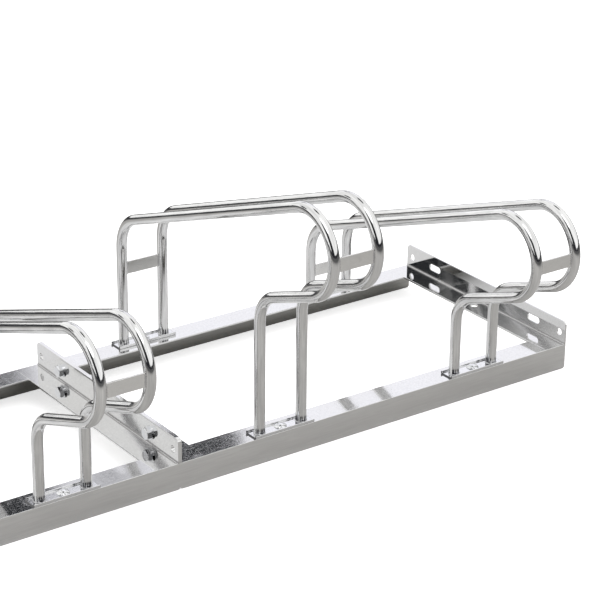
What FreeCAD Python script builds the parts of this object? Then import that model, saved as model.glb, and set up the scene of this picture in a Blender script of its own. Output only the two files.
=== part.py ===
import FreeCAD, Part

import math
import os

import Sketcher

# A floor bike rack of galvanised steel: two bolted modules, each with a high and a low wheel holder.
#
# Frame: +X along the rails, -Y towards the side where the noses of the holders stick out, +Z up.  The
# origin lies on the floor, under the middle of the whole rack.  The two modules meet at x = 0.

MODULES = ("left", "right")
HOLDERS = ("high", "low")

# ---------------------------------------------------------------------------------------------------
# The size sheet: every driving dimension once, in millimetres and degrees
# ---------------------------------------------------------------------------------------------------

DRIVING_SIZES = (
    ("holder_pitch", 350, "from one wheel holder to the next, also across the joint"),
    ("rack_depth", 390, "over the outer faces of the two rails"),
    ("angle_leg", 40, "both legs of the angle section of rails and cross members"),
    ("angle_sheet", 3, "wall of that angle section"),
    ("angle_root", 1.5, "inner radius of that angle section"),
    ("edge_round", 0.6, "rounding of the long edges of angles and flat bars"),
    ("rail_corner", 4, "rounded lower corner at the ends of a rail"),
    ("upstand_corner", 7, "rounded upper corner at the ends of a cross member"),
    ("slot_span", 28, "end-to-end length of a joint slot"),
    ("slot_width", 11, "width of a joint slot and of a round joint hole"),
    ("slot_inset", 73, "from the outer face of a rail to the centre of a slot"),
    ("hole_inset", 13, "from the outer face of a rail to the centre of a round hole"),
    ("slot_rise", 17, "centres of slots and holes above the rail top"),
    ("anchor_bore", 13, "floor anchor hole in the middle of a cross member"),
    ("tube_across", 16, "outer diameter of the holder tubes"),
    ("tube_wall", 2, "wall of the holder tubes"),
    ("tyre_gap", 55, "clear width between the two tubes of a holder"),
    ("nose_reach", 95, "nose bend centre, in front of the outer face of the front rail"),
    ("high_nose", 350, "nose bend centre of a high holder, above the floor"),
    ("low_nose", 265, "nose bend centre of a low holder, above the floor"),
    ("nose_bend", 60, "centre-line radius of the nose bend"),
    ("rear_bend", 60, "centre-line radius of the bend over the rear leg"),
    ("front_bend", 50, "centre-line radius of the bend over the front leg"),
    ("run_tilt", 20, "rise of the two long runs towards the nose, in degrees"),
    ("bar_width", 20, "flat bars between the two tubes of a holder"),
    ("bar_sheet", 3, "thickness of those flat bars"),
    ("rear_bar_drop", 185, "from the nose bend centre down to the middle of the rear bar"),
    ("foot_span", 100, "length of a foot channel"),
    ("foot_width", 25, "width of a foot channel"),
    ("foot_rise", 4.5, "height of a foot channel"),
    ("foot_sheet", 2, "sheet of a foot channel"),
    ("foot_round", 1.2, "outer radius of the bends of a foot channel"),
    ("foot_bolt", 8, "thread of the foot bolts"),
    ("foot_bolt_grip", 20, "length of a foot bolt under its head"),
    ("foot_bolt_head", 18, "diameter of the domed head"),
    ("foot_bolt_dome", 4.5, "height of the domed head"),
    ("foot_bolt_rim", 1, "straight rim under the dome"),
    ("foot_bolt_hole", 9, "hole for a foot bolt in a rail"),
    ("foot_washer", 16, "diameter of the washer under a foot nut"),
    ("foot_washer_sheet", 1.6, "thickness of that washer"),
    ("foot_nut", 13, "foot nut across the flats"),
    ("foot_nut_rise", 6.8, "height of a foot nut"),
    ("joint_bolt", 10, "thread of the joint bolts"),
    ("joint_bolt_grip", 25, "length of a joint bolt under its head"),
    ("joint_hex", 16, "joint bolt heads and nuts across the flats"),
    ("joint_bolt_head", 6.4, "height of a joint bolt head"),
    ("joint_washer", 20, "diameter of the washers on a joint bolt"),
    ("joint_washer_sheet", 2, "thickness of those washers"),
    ("joint_nut_rise", 8.4, "height of a joint nut"),
    ("thread_play", 0.1, "radial play of a nut or washer round its bolt, and of a neck in its hole"),
    ("tip_chamfer", 1, "chamfer at the tip of a bolt and the corners of a hexagon"),
)

document = FreeCAD.newDocument("floor_bike_rack")
sheet = document.addObject("Spreadsheet::Sheet", "Sizes")
for row, (alias, number, note) in enumerate(DRIVING_SIZES, start=1):
    sheet.set("A%d" % row, alias)
    sheet.set("B%d" % row, str(number))
    sheet.set("C%d" % row, note)
    sheet.setAlias("B%d" % row, alias)
document.recompute()


class Measure:
    """A length that knows both its number and the sheet formula it comes from."""

    def __init__(self, number, formula):
        self.number = number
        self.formula = formula

    def __add__(self, other):
        other = measure(other)
        return Measure(self.number + other.number, "(%s + %s)" % (self.formula, other.formula))

    def __sub__(self, other):
        other = measure(other)
        return Measure(self.number - other.number, "(%s - %s)" % (self.formula, other.formula))

    def __mul__(self, factor):
        return Measure(self.number * factor, "(%s * %r)" % (self.formula, factor))

    def __truediv__(self, divisor):
        return Measure(self.number / divisor, "(%s / %r)" % (self.formula, divisor))

    def __neg__(self):
        return self * -1


def measure(number):
    """A plain number as a Measure; a Measure stays as it is."""
    if isinstance(number, Measure):
        return number
    return Measure(number, "%r" % number)


SIZE = {alias: Measure(number, "Sizes.%s" % alias) for alias, number, note in DRIVING_SIZES}

# Places worked out from the driving sizes
module_length = SIZE["holder_pitch"] * len(HOLDERS)
rack_length = module_length * len(MODULES)
holder_count = len(MODULES) * len(HOLDERS)
nose_front = SIZE["nose_reach"] + SIZE["nose_bend"] + SIZE["tube_across"] / 2
rack_front = (nose_front - SIZE["rack_depth"]) / 2
rack_middle = rack_front + SIZE["rack_depth"] / 2
rack_rear = rack_front + SIZE["rack_depth"]
rail_top = SIZE["angle_leg"]
leg_inset = SIZE["foot_width"] / 2
leg_span = SIZE["rack_depth"] - SIZE["foot_width"]
tube_offset = (SIZE["tyre_gap"] + SIZE["tube_across"]) / 2
foot_floor = rail_top + SIZE["foot_sheet"]
first_holder = (SIZE["holder_pitch"] - rack_length) / 2

ALONG_X = FreeCAD.Vector(1, 0, 0)
ALONG_Y = FreeCAD.Vector(0, 1, 0)
UPRIGHT = FreeCAD.Rotation()
HALF_TURN = FreeCAD.Rotation(FreeCAD.Vector(0, 0, 1), 180)
HEAD_TO_THE_LEFT = FreeCAD.Rotation(ALONG_Y, -90)

SKETCH_ORIGIN = (-1, 1)
SKETCH_X_AXIS = -1
SKETCH_Y_AXIS = -2
START, END, CENTRE = 1, 2, 3

subparts = []


# ---------------------------------------------------------------------------------------------------
# Drawing helpers
# ---------------------------------------------------------------------------------------------------

def new_body(label, place, turn=UPRIGHT):
    """A sub-part: its label names its file, and its place follows the size sheet."""
    body = document.addObject("PartDesign::Body", label)
    body.Label = label
    place = [measure(value) for value in place]
    body.Placement = FreeCAD.Placement(FreeCAD.Vector(*[value.number for value in place]), turn)
    for axis, value in zip("xyz", place):
        body.setExpression(".Placement.Base.%s" % axis, value.formula)
    subparts.append(body)
    return body


def origin_feature(body, role):
    """One of the body's own origin planes or axes."""
    for feature in body.Origin.OriginFeatures:
        if feature.Role == role:
            return feature
    raise ValueError("no %s in %s" % (role, body.Label))


def new_sketch(body, name, role):
    sketch = body.newObject("Sketcher::SketchObject", name)
    sketch.AttachmentSupport = [(origin_feature(body, role), "")]
    sketch.MapMode = "FlatFace"
    return sketch


def fix(sketch, kind, references, value):
    """A dimension of a sketch, driven by the size sheet."""
    index = sketch.addConstraint(Sketcher.Constraint(kind, *references, value.number))
    name = "size_%d" % index
    sketch.renameConstraint(index, name)
    sketch.setExpression("Constraints.%s" % name, value.formula)


def fix_point(sketch, geometry, end, x, y):
    """Holds one end of a curve at a point (x, y) that follows the size sheet."""
    for kind, axis, value in (("DistanceX", SKETCH_Y_AXIS, x), ("DistanceY", SKETCH_X_AXIS, y)):
        value = measure(value)
        if value.number == 0:
            sketch.addConstraint(Sketcher.Constraint("PointOnObject", geometry, end, axis))
        elif value.number < 0:
            fix(sketch, kind, (geometry, end, *SKETCH_ORIGIN), -value)
        else:
            fix(sketch, kind, (*SKETCH_ORIGIN, geometry, end), value)


def draw_polygon(sketch, corners):
    """A closed outline of straight lines through (x, y) corners given as measures."""
    points = [FreeCAD.Vector(measure(x).number, measure(y).number, 0) for x, y in corners]
    lines = []
    for here, following in zip(points, points[1:] + points[:1]):
        lines.append(sketch.addGeometry(Part.LineSegment(here, following), False))
    for line, following in zip(lines, lines[1:] + lines[:1]):
        sketch.addConstraint(Sketcher.Constraint("Coincident", line, END, following, START))
    for line, (x, y) in zip(lines, corners):
        fix_point(sketch, line, START, x, y)
    return lines


def draw_rectangle(sketch, x_low, x_high, y_low, y_high):
    draw_polygon(sketch, ((x_low, y_low), (x_high, y_low), (x_high, y_high), (x_low, y_high)))


def draw_circle(sketch, x, y, across):
    x, y, across = measure(x), measure(y), measure(across)
    centre = FreeCAD.Vector(x.number, y.number, 0)
    circle = Part.Circle(centre, FreeCAD.Vector(0, 0, 1), across.number / 2)
    geometry = sketch.addGeometry(circle, False)
    fix_point(sketch, geometry, CENTRE, x, y)
    fix(sketch, "Diameter", (geometry,), across)


def draw_slot(sketch, x, y, span, width):
    """A slot along x with round ends, centred on (x, y)."""
    half = (span - width) / 2
    radius = width.number / 2
    left = FreeCAD.Vector((x - half).number, y.number, 0)
    right = FreeCAD.Vector((x + half).number, y.number, 0)
    rise = FreeCAD.Vector(0, radius, 0)
    normal = FreeCAD.Vector(0, 0, 1)
    quarter = math.pi / 2
    left_end = Part.ArcOfCircle(Part.Circle(left, normal, radius), quarter, 3 * quarter)
    right_end = Part.ArcOfCircle(Part.Circle(right, normal, radius), -quarter, quarter)
    left_arc = sketch.addGeometry(left_end, False)
    bottom = sketch.addGeometry(Part.LineSegment(left - rise, right - rise), False)
    right_arc = sketch.addGeometry(right_end, False)
    top = sketch.addGeometry(Part.LineSegment(right + rise, left + rise), False)
    for first, second in ((left_arc, bottom), (bottom, right_arc), (right_arc, top), (top, left_arc)):
        sketch.addConstraint(Sketcher.Constraint("Tangent", first, END, second, START))
    fix_point(sketch, left_arc, CENTRE, x - half, y)
    fix_point(sketch, right_arc, CENTRE, x + half, y)
    fix(sketch, "Radius", (left_arc,), width / 2)


def draw_hexagon(sketch, flats):
    """A hexagon round the sketch origin, with two flats square to the sketch's x axis."""
    reach = flats / 2
    corner = flats * (0.5 / math.sqrt(3))
    tip = flats * (1 / math.sqrt(3))
    draw_polygon(sketch, (
        (reach, -corner),
        (reach, corner),
        (0, tip),
        (-reach, corner),
        (-reach, -corner),
        (0, -tip),
    ))


def pad(body, sketch, length, both_ways=False, downwards=False):
    """Material drawn out of a sketch: up from it, down from it, or half each way."""
    feature = body.newObject("PartDesign::Pad", sketch.Name + "_pad")
    feature.Profile = sketch
    feature.setExpression("Length", measure(length).formula)
    feature.Midplane = both_ways
    feature.Reversed = downwards
    document.recompute()
    return feature


def pocket(body, sketch, both_ways=False):
    """A cut right through, on the far side of its sketch or on both sides of it."""
    before = body.Shape.Volume
    feature = body.newObject("PartDesign::Pocket", sketch.Name + "_cut")
    feature.Profile = sketch
    feature.Type = "ThroughAll"
    feature.Midplane = both_ways
    feature.Reversed = not both_ways
    document.recompute()
    if body.Shape.Volume >= before:
        raise ValueError("%s cuts nothing in %s" % (sketch.Name, body.Label))
    return feature


def round_edges(body, radius, *tests):
    """A fillet on the edges whose middle point meets any of the tests."""
    names = []
    for number, edge in enumerate(body.Shape.Edges, start=1):
        local = body.Placement.inverse().multVec(edge.CenterOfMass)
        if any(test(local, edge) for test in tests):
            names.append("Edge%d" % number)
    base = body.Tip
    fillet = body.newObject("PartDesign::Fillet", body.Name + "_rounding")
    fillet.Base = (base, names)
    fillet.setExpression("Radius", radius.formula)
    document.recompute()
    return fillet


def along(edge, direction):
    """Whether an edge is a straight one in that direction."""
    if not isinstance(edge.Curve, Part.Line):
        return False
    return abs(abs(edge.Curve.Direction.dot(direction)) - 1) < 1e-6


def near(first, second):
    return abs(first - measure(second).number) < 1e-4


def repeat(body, features, steps):
    """Copies of some features at even steps: (axis role, count, spacing) for each direction."""
    patterns = []
    for role, count, spacing in steps:
        pattern = document.addObject("PartDesign::LinearPattern", body.Name + "_row")
        body.addObject(pattern)
        pattern.Direction = (origin_feature(body, role), [""])
        pattern.Mode = "Spacing"
        pattern.setExpression("Offset", spacing.formula)
        pattern.Occurrences = count
        patterns.append(pattern)
    grid = document.addObject("PartDesign::MultiTransform", body.Name + "_grid")
    grid.Originals = features
    body.addObject(grid)
    grid.Transformations = patterns
    body.Tip = grid
    document.recompute()
    return grid


# ---------------------------------------------------------------------------------------------------
# Rails: angle section, one leg standing on the floor, the other lying on top and pointing inwards
# ---------------------------------------------------------------------------------------------------

def make_rail(label, place, turn):
    """A rail about its own middle: outer face at y = 0, floor at z = 0."""
    body = new_body(label, place, turn)
    leg, wall = SIZE["angle_leg"], SIZE["angle_sheet"]
    half_length = module_length / 2

    section = new_sketch(body, "rail_section", "YZ_Plane")
    draw_polygon(section, ((0, 0), (wall, 0), (wall, leg - wall), (leg, leg - wall), (leg, leg), (0, leg)))
    pad(body, section, module_length, both_ways=True)

    round_edges(
        body, SIZE["angle_root"],
        lambda at, edge: near(at.y, wall) and near(at.z, leg - wall) and along(edge, ALONG_X),
    )
    round_edges(
        body, SIZE["edge_round"],
        lambda at, edge: near(at.y, 0) and near(at.z, leg) and along(edge, ALONG_X),
        lambda at, edge: near(at.y, leg) and near(at.z, leg) and along(edge, ALONG_X),
        lambda at, edge: near(at.y, leg) and near(at.z, leg - wall) and along(edge, ALONG_X),
    )

    # The top leg stops short at both ends, where the cross members take its place.
    notches = new_sketch(body, "corner_notches", "XY_Plane")
    for side in (-1, 1):
        inner = (half_length - leg) * side
        outer = (half_length + wall) * side
        draw_rectangle(notches, inner, outer, wall, leg + wall)
    pocket(body, notches)

    holes = new_sketch(body, "foot_bolt_holes", "XY_Plane")
    for side in (-1, 1):
        draw_circle(holes, SIZE["holder_pitch"] / 2 * side, leg_inset, SIZE["foot_bolt_hole"])
    pocket(body, holes)

    round_edges(
        body, SIZE["rail_corner"],
        lambda at, edge: near(abs(at.x), half_length) and near(at.z, 0) and along(edge, ALONG_Y),
    )


# ---------------------------------------------------------------------------------------------------
# Cross members: the same angle section across each end of a module, one leg standing up
# ---------------------------------------------------------------------------------------------------

def make_cross_member(label, place, turn):
    """A cross member about its own middle: joint face at x = 0, floor at z = 0."""
    body = new_body(label, place, turn)
    leg, wall = SIZE["angle_leg"], SIZE["angle_sheet"]
    half_depth = SIZE["rack_depth"] / 2
    bottom = rail_top - wall
    top = bottom + leg
    hole_level = rail_top + SIZE["slot_rise"]

    section = new_sketch(body, "cross_section", "XZ_Plane")
    draw_polygon(section, (
        (0, bottom),
        (leg, bottom),
        (leg, rail_top),
        (wall, rail_top),
        (wall, top),
        (0, top),
    ))
    pad(body, section, SIZE["rack_depth"], both_ways=True)

    round_edges(
        body, SIZE["angle_root"],
        lambda at, edge: near(at.x, wall) and near(at.z, rail_top) and along(edge, ALONG_Y),
    )
    round_edges(
        body, SIZE["edge_round"],
        lambda at, edge: near(at.x, 0) and near(at.z, bottom) and along(edge, ALONG_Y),
        lambda at, edge: near(at.x, leg) and near(at.z, rail_top) and along(edge, ALONG_Y),
        lambda at, edge: near(at.x, leg) and near(at.z, bottom) and along(edge, ALONG_Y),
    )

    # The ends step over the standing legs of the two rails.
    steps = new_sketch(body, "end_steps", "YZ_Plane")
    for side in (-1, 1):
        inner = (half_depth - wall) * side
        outer = (half_depth + wall) * side
        draw_rectangle(steps, inner, outer, bottom - wall, rail_top)
    pocket(body, steps, both_ways=True)

    openings = new_sketch(body, "joint_openings", "YZ_Plane")
    for side in (-1, 1):
        slot_at = (half_depth - SIZE["slot_inset"]) * side
        hole_at = (half_depth - SIZE["hole_inset"]) * side
        draw_slot(openings, slot_at, hole_level, SIZE["slot_span"], SIZE["slot_width"])
        draw_circle(openings, hole_at, hole_level, SIZE["slot_width"])
    pocket(body, openings)

    anchor = new_sketch(body, "anchor_hole", "XY_Plane")
    draw_circle(anchor, leg / 2, 0, SIZE["anchor_bore"])
    pocket(body, anchor)

    round_edges(
        body, SIZE["upstand_corner"],
        lambda at, edge: near(abs(at.y), half_depth) and near(at.z, top) and along(edge, ALONG_X),
    )


# ---------------------------------------------------------------------------------------------------
# Wheel holders: two bent tubes side by side, two flat bars between them and a channel foot per rail
# ---------------------------------------------------------------------------------------------------

def make_tube(label, place, nose_height):
    """A bent tube from the lower end of its front leg, which is at the origin, to its rear leg."""
    body = new_body(label, place)
    centre_y = -(SIZE["nose_reach"] + leg_inset)
    centre_z = nose_height - foot_floor

    # First placing of the path; the constraints below then tie it to the size sheet.
    tilt = math.radians(SIZE["run_tilt"].number)
    turn = math.pi / 2 - tilt
    forwards = FreeCAD.Vector(-math.cos(tilt), math.sin(tilt), 0)
    above = FreeCAD.Vector(math.sin(tilt), math.cos(tilt), 0)
    normal = FreeCAD.Vector(0, 0, 1)
    nose = FreeCAD.Vector(centre_y.number, centre_z.number, 0)
    nose_radius = SIZE["nose_bend"].number
    lower_end = nose - above * nose_radius
    upper_end = nose + above * nose_radius
    front_corner = lower_end - forwards * (lower_end.x / forwards.x)
    rear_corner = upper_end - forwards * ((upper_end.x - leg_span.number) / forwards.x)

    def bend_over_leg(corner, radius):
        """The arc that turns a leg, below its corner, into the run in front of it."""
        trim = radius * math.tan(turn / 2)
        centre = corner - FreeCAD.Vector(radius, trim, 0)
        return Part.ArcOfCircle(Part.Circle(centre, normal, radius), 0, turn)

    front_arc = bend_over_leg(front_corner, SIZE["front_bend"].number)
    rear_arc = bend_over_leg(rear_corner, SIZE["rear_bend"].number)
    nose_arc = Part.ArcOfCircle(Part.Circle(nose, normal, nose_radius), turn, turn + math.pi)
    rear_foot = FreeCAD.Vector(leg_span.number, 0, 0)

    path = new_sketch(body, "tube_path", "YZ_Plane")
    front_leg = path.addGeometry(Part.LineSegment(FreeCAD.Vector(), front_arc.StartPoint), False)
    front_bend = path.addGeometry(front_arc, False)
    lower_run = path.addGeometry(Part.LineSegment(front_arc.EndPoint, lower_end), False)
    nose_bend = path.addGeometry(nose_arc, False)
    upper_run = path.addGeometry(Part.LineSegment(rear_arc.EndPoint, upper_end), False)
    rear_bend = path.addGeometry(rear_arc, False)
    rear_leg = path.addGeometry(Part.LineSegment(rear_arc.StartPoint, rear_foot), False)
    for first, first_end, second, second_end in (
        (front_leg, END, front_bend, START),
        (front_bend, END, lower_run, START),
        (lower_run, END, nose_bend, END),
        (nose_bend, START, upper_run, END),
        (upper_run, START, rear_bend, END),
        (rear_bend, START, rear_leg, START),
    ):
        path.addConstraint(Sketcher.Constraint("Tangent", first, first_end, second, second_end))
    path.addConstraint(Sketcher.Constraint("Coincident", front_leg, START, *SKETCH_ORIGIN))
    path.addConstraint(Sketcher.Constraint("Vertical", front_leg))
    path.addConstraint(Sketcher.Constraint("Vertical", rear_leg))
    path.addConstraint(Sketcher.Constraint("Parallel", lower_run, upper_run))
    fix_point(path, rear_leg, END, leg_span, 0)
    fix_point(path, nose_bend, CENTRE, centre_y, centre_z)
    fix(path, "Radius", (front_bend,), SIZE["front_bend"])
    fix(path, "Radius", (nose_bend,), SIZE["nose_bend"])
    fix(path, "Radius", (rear_bend,), SIZE["rear_bend"])
    slope = path.addConstraint(Sketcher.Constraint("Angle", upper_run, math.pi - tilt))
    path.renameConstraint(slope, "slope")
    path.setExpression("Constraints.slope", "180 - Sizes.run_tilt")

    section = new_sketch(body, "tube_section", "XY_Plane")
    draw_circle(section, 0, 0, SIZE["tube_across"])
    draw_circle(section, 0, 0, SIZE["tube_across"] - SIZE["tube_wall"] * 2)
    document.recompute()
    pipe = body.newObject("PartDesign::AdditivePipe", "bent_tube")
    pipe.Profile = section
    pipe.Spine = path
    document.recompute()

    outer = SIZE["tube_across"].number / 2
    inner = outer - SIZE["tube_wall"].number
    expected = math.pi * (outer ** 2 - inner ** 2) * path.Shape.Length
    if abs(body.Shape.Volume - expected) > 0.001 * expected:
        raise ValueError("%s has the wrong volume" % label)


def make_flat_bar(label, place):
    """An upright flat bar about its own middle, as long as the gap between the tubes."""
    body = new_body(label, place)
    half_width = SIZE["bar_width"] / 2
    half_sheet = SIZE["bar_sheet"] / 2
    section = new_sketch(body, "bar_section", "YZ_Plane")
    draw_rectangle(section, -half_sheet, half_sheet, -half_width, half_width)
    pad(body, section, SIZE["tyre_gap"], both_ways=True)
    round_edges(body, SIZE["edge_round"], lambda at, edge: along(edge, ALONG_X))


def make_foot(label, place):
    """A shallow channel about the middle of its underside, with a square hole for its bolt's neck."""
    body = new_body(label, place)
    half_width = SIZE["foot_width"] / 2
    sheet_wall, rise = SIZE["foot_sheet"], SIZE["foot_rise"]
    inner = half_width - sheet_wall
    section = new_sketch(body, "channel_section", "YZ_Plane")
    draw_polygon(section, (
        (-half_width, 0),
        (half_width, 0),
        (half_width, rise),
        (inner, rise),
        (inner, sheet_wall),
        (-inner, sheet_wall),
        (-inner, rise),
        (-half_width, rise),
    ))
    pad(body, section, SIZE["foot_span"], both_ways=True)

    neck = SIZE["foot_bolt"] / 2 + SIZE["thread_play"]
    hole = new_sketch(body, "neck_hole", "XY_Plane")
    draw_rectangle(hole, -neck, neck, -neck, neck)
    pocket(body, hole)

    round_edges(
        body, SIZE["foot_round"],
        lambda at, edge: near(abs(at.y), half_width) and near(at.z, 0) and along(edge, ALONG_X),
    )
    round_edges(
        body, SIZE["edge_round"],
        lambda at, edge: near(at.z, rise) and along(edge, ALONG_X),
        lambda at, edge: near(abs(at.y), inner) and near(at.z, sheet_wall) and along(edge, ALONG_X),
    )


def make_holder(label, middle, nose_height):
    """One wheel holder: its pieces are welded to each other and bolted to the rails."""
    front_leg_y = rack_front + leg_inset
    rear_leg_y = rack_rear - leg_inset
    nose_bar_y = rack_front - SIZE["nose_reach"] - SIZE["nose_bend"]
    rear_bar_z = nose_height - SIZE["rear_bar_drop"]
    for side, offset in (("left", -tube_offset), ("right", tube_offset)):
        make_tube("%s_%s_tube" % (label, side), (middle + offset, front_leg_y, foot_floor), nose_height)
    make_flat_bar("%s_nose_bar" % label, (middle, nose_bar_y, nose_height))
    make_flat_bar("%s_rear_bar" % label, (middle, rear_leg_y, rear_bar_z))
    make_foot("%s_front_foot" % label, (middle, front_leg_y, rail_top))
    make_foot("%s_rear_foot" % label, (middle, rear_leg_y, rail_top))


# ---------------------------------------------------------------------------------------------------
# Fasteners: like pieces share one sub-part, as separate solids at the feet and at the joint
# ---------------------------------------------------------------------------------------------------

FOOT_GRID = (
    ("X_Axis", holder_count, SIZE["holder_pitch"]),
    ("Y_Axis", 2, leg_span),
)
JOINT_ROW = (("Y_Axis", 2, SIZE["rack_depth"] - SIZE["slot_inset"] * 2),)


def turned_outline(body, name, corners, rounded_first=False):
    """Half of a turned section beside the z axis; its first edge may be an arc centred on that axis."""
    sketch = new_sketch(body, name, "XZ_Plane")
    points = [FreeCAD.Vector(measure(x).number, measure(y).number, 0) for x, y in corners]
    curves = []
    for index, (here, following) in enumerate(zip(points, points[1:] + points[:1])):
        curve = Part.LineSegment(here, following)
        if index == 0 and rounded_first:
            drop = here.y - following.y
            radius = (following.x ** 2 + drop ** 2) / (2 * drop)
            middle_angle = math.asin(following.x / radius) / 2
            middle = here + FreeCAD.Vector(
                radius * math.sin(middle_angle), radius * (math.cos(middle_angle) - 1), 0)
            curve = Part.Arc(here, middle, following)
        curves.append(sketch.addGeometry(curve, False))
    starts = [START] * len(curves)
    ends = [END] * len(curves)
    if rounded_first:
        # An arc runs anticlockwise, so this one starts at the outline's second corner.
        starts[0], ends[0] = END, START
        sketch.addConstraint(Sketcher.Constraint("PointOnObject", curves[0], CENTRE, SKETCH_Y_AXIS))
    for index, curve in enumerate(curves):
        following = (index + 1) % len(curves)
        sketch.addConstraint(Sketcher.Constraint(
            "Coincident", curve, ends[index], curves[following], starts[following]))
        fix_point(sketch, curve, starts[index], *corners[index])
    return sketch


def revolve(body, sketch):
    feature = body.newObject("PartDesign::Revolution", sketch.Name + "_turned")
    feature.Profile = sketch
    feature.ReferenceAxis = (origin_feature(body, "Z_Axis"), [""])
    feature.Angle = 360
    document.recompute()
    return feature


def groove(body, sketch):
    before = body.Shape.Volume
    feature = body.newObject("PartDesign::Groove", sketch.Name + "_turned")
    feature.Profile = sketch
    feature.ReferenceAxis = (origin_feature(body, "Z_Axis"), [""])
    feature.Angle = 360
    document.recompute()
    if body.Shape.Volume >= before:
        raise ValueError("%s cuts nothing in %s" % (sketch.Name, body.Label))
    return feature


def chamfer_hexagon(body, flats, level, rise):
    """Turns the corners of a hexagon off at a level, towards a rise of the tip chamfer's size."""
    tip = flats * (1 / math.sqrt(3))
    inner = flats / 2
    sketch = new_sketch(body, "corner_chamfer", "XZ_Plane")
    draw_polygon(sketch, ((inner, level), (tip + rise, level), (tip + rise, level - rise)))
    return groove(body, sketch)


def make_foot_bolts():
    """Domed bolts with a square neck, one in each foot channel."""
    radius = SIZE["foot_bolt"] / 2
    head = SIZE["foot_bolt_head"] / 2
    chamfer = SIZE["tip_chamfer"]
    tip = -SIZE["foot_bolt_grip"]
    body = new_body("foot_bolts", (first_holder, rack_front + leg_inset, foot_floor))
    outline = turned_outline(body, "domed_bolt", (
        (0, SIZE["foot_bolt_dome"]),
        (head, SIZE["foot_bolt_rim"]),
        (head, 0),
        (radius, 0),
        (radius, tip + chamfer),
        (radius - chamfer, tip),
        (0, tip),
    ), rounded_first=True)
    turned = revolve(body, outline)
    square = new_sketch(body, "square_neck", "XY_Plane")
    draw_rectangle(square, -radius, radius, -radius, radius)
    neck = pad(body, square, SIZE["foot_sheet"], downwards=True)
    repeat(body, [turned, neck], FOOT_GRID)


def make_washers(label, place, turn, thread, across, thickness, steps):
    body = new_body(label, place, turn)
    ring = new_sketch(body, "washer_ring", "XY_Plane")
    draw_circle(ring, 0, 0, across)
    draw_circle(ring, 0, 0, thread + SIZE["thread_play"] * 2)
    repeat(body, [pad(body, ring, thickness)], steps)


def make_nuts(label, place, turn, thread, flats, height, steps):
    """Hexagon nuts with their outer corners turned off."""
    body = new_body(label, place, turn)
    hexagon = new_sketch(body, "nut_hexagon", "XY_Plane")
    draw_hexagon(hexagon, flats)
    draw_circle(hexagon, 0, 0, thread + SIZE["thread_play"] * 2)
    block = pad(body, hexagon, height)
    corners = chamfer_hexagon(body, flats, height, SIZE["tip_chamfer"])
    repeat(body, [block, corners], steps)


def make_joint_bolts():
    """Hexagon bolts through the slots of the two inner cross members, heads on the left."""
    radius = SIZE["joint_bolt"] / 2
    chamfer = SIZE["tip_chamfer"]
    head_seat = -(SIZE["angle_sheet"] + SIZE["joint_washer_sheet"])
    tip = -SIZE["joint_bolt_grip"]
    body = new_body("joint_bolts", (head_seat, joint_row_start, joint_level), HEAD_TO_THE_LEFT)
    hexagon = new_sketch(body, "head_hexagon", "XY_Plane")
    draw_hexagon(hexagon, SIZE["joint_hex"])
    head = pad(body, hexagon, SIZE["joint_bolt_head"])
    corners = chamfer_hexagon(body, SIZE["joint_hex"], SIZE["joint_bolt_head"], chamfer)
    outline = turned_outline(body, "bolt_shank", (
        (0, 0),
        (radius, 0),
        (radius, tip + chamfer),
        (radius - chamfer, tip),
        (0, tip),
    ))
    repeat(body, [head, corners, revolve(body, outline)], JOINT_ROW)


# ---------------------------------------------------------------------------------------------------
# The rack
# ---------------------------------------------------------------------------------------------------

for number, module in enumerate(MODULES):
    module_start = module_length * number - rack_length / 2
    module_end = module_start + module_length
    module_middle = module_start + module_length / 2
    make_rail("%s_front_rail" % module, (module_middle, rack_front, 0), UPRIGHT)
    make_rail("%s_rear_rail" % module, (module_middle, rack_rear, 0), HALF_TURN)
    make_cross_member("%s_module_left_cross" % module, (module_start, rack_middle, 0), UPRIGHT)
    make_cross_member("%s_module_right_cross" % module, (module_end, rack_middle, 0), HALF_TURN)
    for place, kind in enumerate(HOLDERS):
        holder_middle = module_start + SIZE["holder_pitch"] / 2 + SIZE["holder_pitch"] * place
        make_holder("%s_%s" % (module, kind), holder_middle, SIZE["%s_nose" % kind])

under_rail = rail_top - SIZE["angle_sheet"]
first_foot_y = rack_front + leg_inset
foot_washer_z = under_rail - SIZE["foot_washer_sheet"]
foot_nut_z = foot_washer_z - SIZE["foot_nut_rise"]
make_foot_bolts()
make_washers(
    "foot_bolt_washers", (first_holder, first_foot_y, foot_washer_z), UPRIGHT,
    SIZE["foot_bolt"], SIZE["foot_washer"], SIZE["foot_washer_sheet"], FOOT_GRID,
)
make_nuts(
    "foot_bolt_nuts", (first_holder, first_foot_y, foot_nut_z), UPRIGHT,
    SIZE["foot_bolt"], SIZE["foot_nut"], SIZE["foot_nut_rise"], FOOT_GRID,
)

joint_row_start = rack_front + SIZE["slot_inset"]
joint_level = rail_top + SIZE["slot_rise"]
joint_washer_x = SIZE["angle_sheet"] + SIZE["joint_washer_sheet"]
joint_nut_x = joint_washer_x + SIZE["joint_nut_rise"]
washer_steps = JOINT_ROW + (("Z_Axis", 2, SIZE["angle_sheet"] * 2 + SIZE["joint_washer_sheet"]),)
make_joint_bolts()
make_washers(
    "joint_bolt_washers", (joint_washer_x, joint_row_start, joint_level), HEAD_TO_THE_LEFT,
    SIZE["joint_bolt"], SIZE["joint_washer"], SIZE["joint_washer_sheet"], washer_steps,
)
make_nuts(
    "joint_bolt_nuts", (joint_nut_x, joint_row_start, joint_level), HEAD_TO_THE_LEFT,
    SIZE["joint_bolt"], SIZE["joint_hex"], SIZE["joint_nut_rise"], JOINT_ROW,
)

# ---------------------------------------------------------------------------------------------------
# Checks, then one file for each sub-part
# ---------------------------------------------------------------------------------------------------

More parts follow.
